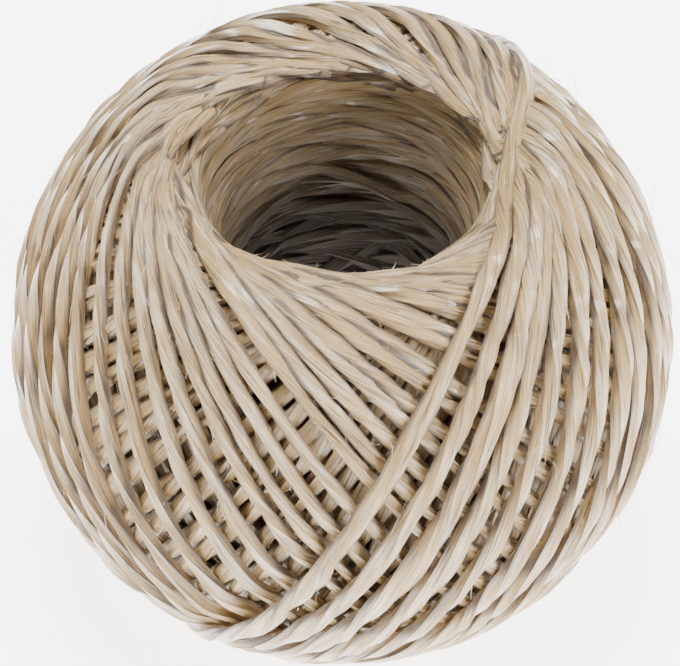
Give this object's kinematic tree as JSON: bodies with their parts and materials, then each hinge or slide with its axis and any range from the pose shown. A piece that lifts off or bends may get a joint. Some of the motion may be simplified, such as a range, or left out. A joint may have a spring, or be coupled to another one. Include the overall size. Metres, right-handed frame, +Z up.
{
  "type": "ball of twine",
  "caption": "Short round ball of pale straw-coloured film twine, machine wound in crossing slanted turns, with an open hole down its axis and a rounded rim at each end.",
  "frame": {"origin": "middle of the flat ring that the ball rests on", "axes": "+Z up along the open hole; -Y towards the side where the last turn climbs across the front"},
  "size_m": [0.086, 0.086, 0.0673],
  "materials": {
    "twine": "semi-gloss split film, fine lengthwise fibres"
  },
  "bodies": {
    "root": {"twine_ball": "twine"}
  },
  "joints": []
}
